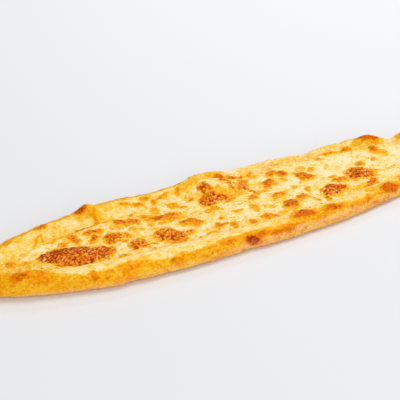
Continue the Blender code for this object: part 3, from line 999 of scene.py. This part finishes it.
DARK_MARKS = (
    (-195, 21.5, 3.6, 0.9, 45, 0.66, -0.2),
    (-188, 24, 0.8, 2.6, 0, 0.6, -0.2),
    (-172, 24, 9, 0.8, 0, 0.44, -0.3),
    (-150, 26, 11, 0.9, 15, 0.56, -0.3),
    (-135, 28, 3, 1.2, 0, 0.76, -0.2),
    (-154, -33, 2.4, 1, 0, 0.62, -0.2),
    (-111, 12, 1.4, 1.2, 0, 0.7, -0.1),
    (-106, -33, 1.6, 0.9, 0, 0.6, -0.1),
    (-41, 28, 3, 0.9, -40, 0.6, -0.2),
    (-52, -35, 6, 0.8, 12, 0.76, -0.4),
    (-44, -37, 4, 0.8, -35, 0.74, -0.4),
    (-67, -38, 1.4, 0.9, 0, 0.72, -0.2),
    (-62, -36, 1.4, 0.9, 30, 0.66, -0.2),
    (0, -3.5, 6, 1.2, 12, 0.42, 0.1),
    (15, -18, 1.2, 3, 0, 0.5, -0.1),
    (20, -40, 3, 1, 15, 0.5, -0.1),
    (39, -15, 2, 1, 0, 0.42, -0.1),
    (48, -13, 2, 1, 0, 0.42, -0.1),
    (37, -26, 1.6, 1.4, 0, 1.0, -0.9),
    (75, -33, 2.4, 2.4, 0, 0.86, 0.1),
    (79, 5, 1.4, 1, 0, 0.98, -0.3),
    (107, 16, 3.6, 1.5, 45, 0.42, 0.0),
    (106, -32, 4, 1, -25, 0.5, -0.1),
    (101, -32, 2, 1, 0, 0.4, 0.0),
    (122, -5, 1.6, 1.2, 0, 0.84, 0.0),
    (127, -13, 2, 1.6, 0, 0.96, -0.2),
    (149, -11, 3, 1.1, -20, 0.62, -0.1),
    (150, -2, 2, 1, 0, 0.4, 0.0),
    (-28, 8, 3, 1.6, 0, 0.98, -0.1),
)
spot_count = len(GRAINY_PATCHES) + len(BROWN_BLISTERS) + len(GOLDEN_SPOTS) + len(DARK_MARKS)
print(spot_count, "spots on the cheese")

# %% [markdown]
# ## The cheese's surface
#
# Melted cheese finds its own level and then climbs the bread a little where it touches it. So its
# top is the level of the cheese, plus the swelling, plus every blister, and near its two long edges
# it is drawn to the slope of the rim and ends just under the bread's skin. The meeting line is
# uneven, because noise moves it up and down the slope, and no gap can open along it.

# %% Cheese grid
CHEESE_ROWS = 700
TOP_COLUMNS = 118
EDGE_PLACE = 2.85  # how far round the bread's section the cheese's edge is
# The heap on the swelling: x, y, half length, half width, height
CHEESE_HEAP = (-16, 27, 24, 18, 3.6)
# The larger blisters as they stand in the solid: x, y, half length, half width, turn, height
LARGE_BLISTERS = (
    (-172, -11, 36, 17, -20, 2.6),
    (-128, 0, 14, 10, 0, 1.8),
    (-114, -17, 9, 10, 0, 1.5),
    (-85, -17, 14, 18, 15, 2.2),
    (-77, 11, 17, 5, -25, 1.5),
    (-56, -10, 11, 7, 0, 1.6),
    (39, 16, 10, 9, 20, 1.6),
    (56, 30, 12, 8, -35, 1.8),
    (79, 11, 9, 10, 15, 1.8),
    (38, -8, 8, 6, 0, 1.2),
    (39, -28, 10, 8, 0, 1.5),
    (90, -23, 13, 12, 20, 2.1),
    (131, -8, 14, 14, 0, 2.2),
    (127, -32, 9, 6, 25, 1.3),
    (172, 26, 8, 9, 30, 1.6),
)


def cheese_relief(x, y):
    """The swelling, the heap on it and the large blisters, turned domes, added together."""
    height = domes(x, y, (CHEESE_HEAP,), swell(x, y))
    for cx, cy, reach_x, reach_y, degrees, size in LARGE_BLISTERS:
        u, v = turned(x - cx, y - cy, np.radians(degrees))
        height = height + size * dome(u, v, 0, 0, reach_x, reach_y)
    return height


def cheese_edges(x):
    """Distance and height of the bread's skin at the near edge of the cheese and at the far one."""
    w = np.full((1, 1), EDGE_PLACE)
    return bread_point(x, w, -1), bread_point(x, w, 1)


def cheese_place(x, columns):
    """Places across the trough at each x: even steps from the near slope's foot to the far slope's."""
    near_y, far_y = [edge[0] for edge in cheese_edges(x)]
    return near_y + (far_y - near_y) * np.linspace(0, 1, columns)[None, :]


cheese_x = row_places(CHEESE_ROWS)
cheese_x = cheese_x[np.abs(cheese_x) < TROUGH_HALF - 2][:, None]
cheese_y = cheese_place(cheese_x, TOP_COLUMNS)
print("cheese columns are", round(float(np.diff(cheese_y, axis=1).max()), 2), "mm apart at most")

# %% Cheese top
EDGE_SINK = 0.9  # how far under the bread's skin the cheese ends, in mm


def cheese_top(x, y):
    """Height of the smooth top: level and relief inside, drawn to just under the bread at its edges."""
    near_z, far_z = [edge[1] - EDGE_SINK for edge in cheese_edges(x)]
    from_near, from_far = y - y[:, :1], y[:, -1:] - y
    edge_z = near_z + (far_z - near_z) * from_near / np.maximum(from_near + from_far, 0.01)
    rounding = 6.5 + 2.5 * layers(x, y, 11.0, 101)
    inside = ease(np.minimum(from_near, from_far) / rounding)
    return edge_z + (CHEESE_LEVEL + cheese_relief(x, y) - edge_z) * inside, inside


cheese_z, cheese_inside = cheese_top(cheese_x, cheese_y)
top_points = np.stack([np.broadcast_to(cheese_x, cheese_y.shape), cheese_y, cheese_z], -1)
print("the cheese's smooth top reaches", round(float(cheese_z.max()), 1), "mm")

# %% Cheese browning
# Spots, how far noise bends them, the width of their fringe, seed
SPOT_KINDS = (
    (GRAINY_PATCHES, 4.2, 2.4, 111),
    (BROWN_BLISTERS, 3.2, 2.4, 131),
    (GOLDEN_SPOTS, 3.0, 2.2, 151),
    (DARK_MARKS, 0.9, 1.6, 171),
)
browned = [browning(cheese_x, cheese_y, *kind) for kind in SPOT_KINDS]
(grainy, blisters, golden, marks), spot_heights, glows = zip(*browned)


def cheese_veins(x, y):
    """Thin winding lines, only where a slow noise lets them show."""
    return veins(0.7 * x, 1.3 * y, 9.0, 187) * (layers(x, y, 16.0, 189) > 0.05)


def cheese_tone(x, y):
    """The strongest of spots, freckles, winding lines and a painted shade line along the far crease."""
    uneven = 1 + 0.12 * layers(x, y, 5.0, 177)
    smooth = np.maximum(blisters * uneven, golden * uneven)
    brown = np.maximum(np.maximum(grainy, marks), smooth)
    brown = np.maximum(brown, 0.7 * freckles(0.75 * x, 1.1 * y, 4.6, 0.3, 185))
    brown = np.maximum(brown, 0.5 * cheese_veins(x, y))
    from_far = y[:, -1:] - y
    # painted shade: a dark line just in from the far crease
    painted_far_crease_shade = 0.66 * ease(1.5 - np.abs(from_far - 2.2 + 0.8 * layers(x, y, 6.0, 191)))
    painted_far_crease_shade = painted_far_crease_shade * ease((x + 185) / 9) * ease((-60 - x) / 60)
    return np.clip(np.maximum(brown, painted_far_crease_shade), 0, 1.15)


cheese_brown = cheese_tone(cheese_x, cheese_y)
cheese_spot_height = sum(spot_heights)
print("browned part of the cheese", round(float((cheese_brown > 0.5).mean()), 2))

# %% Cheese grain and butter
# Where butter lies thicker or thinner: x, y, half length, half width, strength
BUTTER_POOLS = (
    (-4, 18, 17, 11, 0.8),
    (-9, 26, 9, 7, -0.5),
    (10, 35, 9, 8, -0.7),
    (-37, 27, 10, 10, 0.45),
    (168, 30, 26, 12, 0.5),
)


def cheese_buttering(x, y):
    """Butter round the spots, at the left tip, in pools and along the near edge, streaked."""
    glow = np.maximum.reduce(glows[:3])
    butter = 0.12 - 0.12 * ease((x - 10) / 60) + 0.6 * glow + 0.6 * ease((-185 - x) / 30)
    butter = domes(x, y, BUTTER_POOLS, butter) + 0.35 * ease((6 - (y - y[:, :1])) / 5)
    return np.clip(butter + butter_streaks(x, y), -0.3, 1.3)


cheese_grain = ease((grainy - 0.35) / 0.3)
cheese_butter = cheese_buttering(cheese_x, cheese_y)
print("grainy part of the cheese", round(float((cheese_grain > 0.5).mean()), 2))


# %% Cheese ripples
def cheese_fine_relief(x, y):
    """Height in mm: slow lumps and ripples; coarse grains on big patches, wrinkles on small ones."""
    ground = 0.8 * layers(x, y, 9.5, 201) + 0.4 * layers(x, y, 3.4, 205)
    ground = ground - 0.3 * cheese_veins(x, y)
    grains = 1.4 * (cells(x, y, 2.6, 211)[0] - 0.45) + 0.5 * layers(x, y, 1.8, 215)
    wrinkles = 0.3 * layers(x, y, 2.2, 221) * ease((cheese_brown - 0.45) / 0.2)
    return (ground + wrinkles) * (1 - cheese_grain) + (0.5 * ground + grains) * cheese_grain


cheese_ripple = cheese_fine_relief(cheese_x, cheese_y)
cheese_height = (cheese_ripple + cheese_spot_height) * cheese_inside
print("ripples and spots reach", round(float(cheese_height.max()), 1), "mm above the smooth top")

# %% Cheese mesh
CHEESE_GAP = 0.45  # how far the cheese's underside stays above the bread, in mm
UNDER_PLACES = np.array([[3.25, 3.7, 4.0, 4.5, 5.0]])  # round the section, as w is
near_under = bread_point(cheese_x, UNDER_PLACES, -1)
far_under = bread_point(cheese_x, UNDER_PLACES, 1)
under_y = np.concatenate([far_under[0], near_under[0][:, -2::-1]], 1)
under_z = np.concatenate([far_under[1], near_under[1][:, -2::-1]], 1) + CHEESE_GAP
under_points = np.stack([np.broadcast_to(cheese_x, under_y.shape), under_y, under_z], -1)
cheese_points = np.concatenate([top_points, under_points], 1)
normal = outward(cheese_points)[:, :TOP_COLUMNS]
normal[:, (0, -1)] = (0, 0, 1)
cheese_points[:, :TOP_COLUMNS] += normal * cheese_height[..., None]


def with_underside(value):
    """The value over the top, followed by zeros for the points of the underside."""
    return np.concatenate([value, np.zeros((len(value), under_points.shape[1]))], 1)


cheese_values = {
    "brown": with_underside(cheese_brown),
    "grain": with_underside(cheese_grain),
    "butter": with_underside(cheese_butter),
    "relief": with_underside(cheese_ripple),
}
cheese_ends = np.array([cheese_points[0].mean(0), cheese_points[-1].mean(0)])
cheese = tube_mesh("melted_cheese", cheese_points, cheese_ends, cheese_values)
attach(cheese, "root")
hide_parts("cheese")

# %% [markdown]
# ## One oven colour for bread and cheese
#
# Bread and cheese brown in the same way: first gold, then orange, then brown. So both materials
# share one node group, which takes a number from 0 to 1 and gives the colour that the oven would
# have made of it. Noise inside the group frays the edge of every spot, far finer than the mesh
# could.

# %% Node helpers
def add_node(tree, kind, **settings):
    """A new node of that kind, with its properties set by name."""
    node = tree.nodes.new(kind)
    for name, value in settings.items():
        setattr(node, name, value)
    return node


def feed(tree, node, values):
    """Fills a node's inputs by name or place: sets a plain value, links another node's output."""
    for name, value in values.items():
        if isinstance(value, (int, float, tuple)):
            node.inputs[name].default_value = value
        else:
            tree.links.new(value, node.inputs[name])


def noise_node(tree, vector, scale, detail, roughness):
    """A noise texture on the given coordinates, which are in metres."""
    node = add_node(tree, "ShaderNodeTexNoise")
    feed(tree, node, {"Vector": vector, "Scale": scale, "Detail": detail, "Roughness": roughness})
    return node.outputs["Fac"]


def math_node(tree, operation, first, second=0.5, third=0.5):
    """A Math node; each of its values is a socket or a number."""
    node = add_node(tree, "ShaderNodeMath", operation=operation)
    feed(tree, node, {0: first, 1: second, 2: third})
    return node.outputs["Value"]


def range_node(tree, value, low, high, to_low=0.0, to_high=1.0):
    """A Map Range node that eases from one number to the other."""
    node = add_node(tree, "ShaderNodeMapRange", interpolation_type="SMOOTHSTEP")
    feed(tree, node, {"Value": value, "From Min": low, "From Max": high})
    feed(tree, node, {"To Min": to_low, "To Max": to_high})
    return node.outputs["Result"]


def mix_colours(tree, factor, first, second):
    """A Mix node for colours; its inputs 6 and 7 and its output 2 are the ones that hold colours."""
    node = add_node(tree, "ShaderNodeMix", data_type="RGBA")
    feed(tree, node, {0: factor, 6: first, 7: second})
    return node.outputs[2]


def ramp_node(tree, value, stops):
    """A Color Ramp through (value, colour) stops, with the values brought to between 0 and 1."""
    node = add_node(tree, "ShaderNodeValToRGB")
    elements = node.color_ramp.elements
    start, length = stops[0][0], stops[-1][0] - stops[0][0]
    elements[0].color, elements[-1].color = paint(*stops[0][1]), paint(*stops[-1][1])
    for place, colour in stops[1:-1]:
        elements.new((place - start) / length).color = paint(*colour)
    feed(tree, node, {"Fac": math_node(tree, "MULTIPLY_ADD", value, 1 / length, -start / length)})
    return node.outputs["Color"]


def attribute_node(tree, name):
    """One of the mesh's own numbers."""
    return add_node(tree, "ShaderNodeAttribute", attribute_name=name).outputs["Fac"]


def new_group(name, inputs, outputs):
    """A node group with the sockets named, its Object coordinates, and its two end nodes."""
    group = bpy.data.node_groups.new(name, "ShaderNodeTree")
    for direction, sockets in (("INPUT", inputs), ("OUTPUT", outputs)):
        for label, kind in sockets.items():
            group.interface.new_socket(name=label, in_out=direction, socket_type=kind)
    place = add_node(group, "ShaderNodeTexCoord").outputs["Object"]
    return group, place, add_node(group, "NodeGroupInput").outputs, add_node(group, "NodeGroupOutput")


NUMBER, COLOUR = "NodeSocketFloat", "NodeSocketColor"
print("a group's sockets are", NUMBER, "or", COLOUR)

# %% Oven colour group
# How brown, and the colour there
OVEN_COLOURS = (
    (0.15, (254, 212, 100)),
    (0.36, (252, 199, 54)),
    (0.55, (249, 172, 8)),
    (0.7, (243, 146, 4)),
    (0.84, (234, 126, 0)),
    (0.98, (212, 94, 0)),
    (1.12, (160, 56, 0)),
)


def oven_group():
    """Brown plus fraying noise, read off a colour ramp, with the pale colour mixed in where it is low."""
    inputs = {"Brown": NUMBER, "Fraying": NUMBER, "Pale": COLOUR}
    group, place, given, result = new_group("oven colour", inputs, {"Colour": COLOUR})
    coarse = noise_node(group, place, 380.0, 3.0, 0.6)
    fine = noise_node(group, place, 820.0, 2.0, 0.6)
    coarse, fine = math_node(group, "SUBTRACT", coarse), math_node(group, "SUBTRACT", fine)
    wander = math_node(group, "ADD", coarse, fine)
    frayed = math_node(group, "MULTIPLY_ADD", wander, given["Fraying"], given["Brown"])
    oven_colour = ramp_node(group, frayed, OVEN_COLOURS)
    mixed = mix_colours(group, range_node(group, frayed, 0.16, 0.42), given["Pale"], oven_colour)
    feed(group, result, {"Colour": mixed})
    return group


oven = oven_group()
print("oven colours from", OVEN_COLOURS[0][1], "to", OVEN_COLOURS[-1][1])

# %% [markdown]
# ## Mottling and pores
#
# The second shared effect is what no spot list can hold: the slight change of tone every few
# millimetres, and the tiny pores of a baked skin, both drawn out a little along the loaf. The group
# gives the pale colour, a mask for the tone and a height for a Bump node. The bump stays low,
# because everything that can be seen from the side is already in the mesh.

# %% Mottling group
# How buttery, and the colour there
PALE_COLOURS = (
    (-0.2, (254, 237, 194)),
    (0.2, (254, 226, 156)),
    (0.5, (253, 211, 98)),
    (0.8, (250, 194, 50)),
    (1.0, (246, 180, 26)),
    (1.3, (238, 160, 2)),
)


def mottling_group():
    """Pale: cream to butter to gold, by a butter value and three noises. Height: fine noise for pores."""
    outputs = {"Pale": COLOUR, "Tone": NUMBER, "Height": NUMBER}
    inputs = {"Strength": NUMBER, "Butter": NUMBER}
    group, place, given, result = new_group("mottling", inputs, outputs)
    drawn_out = add_node(group, "ShaderNodeVectorMath", operation="MULTIPLY")
    feed(group, drawn_out, {0: place, 1: (0.65, 0.9, 0.9)})
    drawn_out = drawn_out.outputs["Vector"]
    broad = noise_node(group, drawn_out, 105.0, 3.0, 0.55)
    narrow = noise_node(group, drawn_out, 460.0, 3.0, 0.6)
    fine = noise_node(group, drawn_out, 1050.0, 2.0, 0.6)
    noise = math_node(group, "MULTIPLY_ADD", narrow, 2.6, math_node(group, "MULTIPLY", broad, 0.7))
    noise = math_node(group, "MULTIPLY_ADD", fine, 1.8, math_node(group, "SUBTRACT", noise, 2.55))
    tone = math_node(group, "MULTIPLY_ADD", given["Butter"], 0.6, 0.08)
    tone = math_node(group, "MULTIPLY_ADD", noise, given["Strength"], tone)
    pale = ramp_node(group, tone, PALE_COLOURS)
    pores = noise_node(group, drawn_out, 1600.0, 3.0, 0.65)
    feed(group, result, {"Pale": pale, "Tone": range_node(group, tone, 0.0, 0.7), "Height": pores})
    return group


mottling = mottling_group()
sockets = mottling.interface.items_tree
print("mottling gives", [s.name for s in sockets if s.in_out == "OUTPUT"])


# %% Material helpers
GLOSS = 0.05  # how strongly bread and cheese mirror the light, under any oil


def add_group(tree, group, values):
    """The group placed in a material, with a socket or a plain value for each of its inputs."""
    node = add_node(tree, "ShaderNodeGroup", node_tree=group)
    feed(tree, node, values)
    return node.outputs


def bump_node(tree, height, depth_mm):
    """The normals that a Bump node of that depth makes of the height."""
    bump = add_node(tree, "ShaderNodeBump")
    feed(tree, bump, {"Strength": 1.0, "Distance": depth_mm * MM, "Height": height})
    return bump.outputs["Normal"]


print("material helpers ready, gloss", GLOSS)

# %% [markdown]
# ## The crust's finish
#
# A pide's rim is brushed with butter or egg, so it has a faint gloss on its gold, while the floury
# strip by the foot is dull and pinkish, with darker flecks where the dough shows between the
# grains. The same pale colour on the near foot is partly flour and partly painted light on its
# shaded underside.

# %% Crust material
# the flour colour, also used as painted light on the near foot
FLOUR_AND_FOOT_LIGHT_COLOUR = (253, 208, 162)


def crust_finish():
    """Oven colour from the mesh's browning; flour and the near foot's painted light mixed in by their
    mask times a coarse noise.
    """
    material, shader = new_material("baked crust")
    tree = material.node_tree
    tone = add_group(tree, mottling, {"Strength": 0.7, "Butter": attribute_node(tree, "butter")})
    values = {"Brown": attribute_node(tree, "brown"), "Fraying": 0.75, "Pale": tone["Pale"]}
    oven_out = add_group(tree, oven, values)
    place = add_node(tree, "ShaderNodeTexCoord").outputs["Object"]
    flecks = range_node(tree, noise_node(tree, place, 700.0, 3.0, 0.7), 0.4, 0.6)
    # flour flecks, and painted light on the near foot, both in the flour colour
    dusted_and_foot_lit = math_node(tree, "MULTIPLY", attribute_node(tree, "flour"), flecks)
    dusted_and_foot_lit = math_node(tree, "MULTIPLY", dusted_and_foot_lit, 0.7)
    floury = mix_colours(tree, dusted_and_foot_lit, oven_out["Colour"], paint(*FLOUR_AND_FOOT_LIGHT_COLOUR))
    rough = range_node(tree, dusted_and_foot_lit, 0.0, 0.6, 0.5, 0.8)
    feed(tree, shader, {"Base Color": floury, "Roughness": rough, "Specular IOR Level": GLOSS})
    feed(tree, shader, {"Normal": bump_node(tree, tone["Height"], 0.12)})
    return material


crust.data.materials.append(crust_finish())
print("crust finished")

# %% [markdown]
# ## The cheese's finish
#
# Between its spots the cheese is cream with buttery yellow streaks, and oil lies on it. On the big
# patches the mesh's own relief sets painted light and shade: the tips of the grains are painted
# lighter, the highest with a pale glint colour, and the pits between them darker. The oil is a weak
# clear coat on those tips.

# %% Cheese material
# the pale colour of the painted glints
PAINTED_GLINT_COLOUR = (255, 214, 150)


def cheese_finish():
    """Oven colour, less on the tips of the grains and more in the pits as painted light and shade, with
    painted glints; cream and butter below.
    """
    material, shader = new_material("browned cheese")
    tree = material.node_tree
    tone = add_group(tree, mottling, {"Strength": 1.0, "Butter": attribute_node(tree, "butter")})
    relief, grain = attribute_node(tree, "relief"), attribute_node(tree, "grain")
    tips = math_node(tree, "MULTIPLY", relief, grain)
    # painted light and shade: the grain tips are made less brown and the pits more, by the mesh's relief
    brown = math_node(tree, "MULTIPLY_ADD", tips, -0.42, attribute_node(tree, "brown"))
    oven_out = add_group(tree, oven, {"Brown": brown, "Fraying": 1.0, "Pale": tone["Pale"]})
    # painted glints: the highest grain tips are mixed towards a pale glint colour
    painted_glints = math_node(tree, "MULTIPLY", range_node(tree, tips, 0.4, 0.8), 0.6)
    with_painted_glints = mix_colours(tree, painted_glints, oven_out["Colour"], paint(*PAINTED_GLINT_COLOUR))
    rough = range_node(tree, tone["Tone"], 0.0, 1.0, 0.5, 0.36)
    oily = math_node(tree, "MULTIPLY", range_node(tree, tips, 0.1, 0.7), 0.4)
    feed(tree, shader, {"Base Color": with_painted_glints, "Roughness": rough, "Specular IOR Level": GLOSS})
    feed(tree, shader, {"Coat Weight": oily, "Coat Roughness": 0.3})
    feed(tree, shader, {"Normal": bump_node(tree, tone["Height"], 0.15)})
    return material


cheese.data.materials.append(cheese_finish())
print("cheese finished")
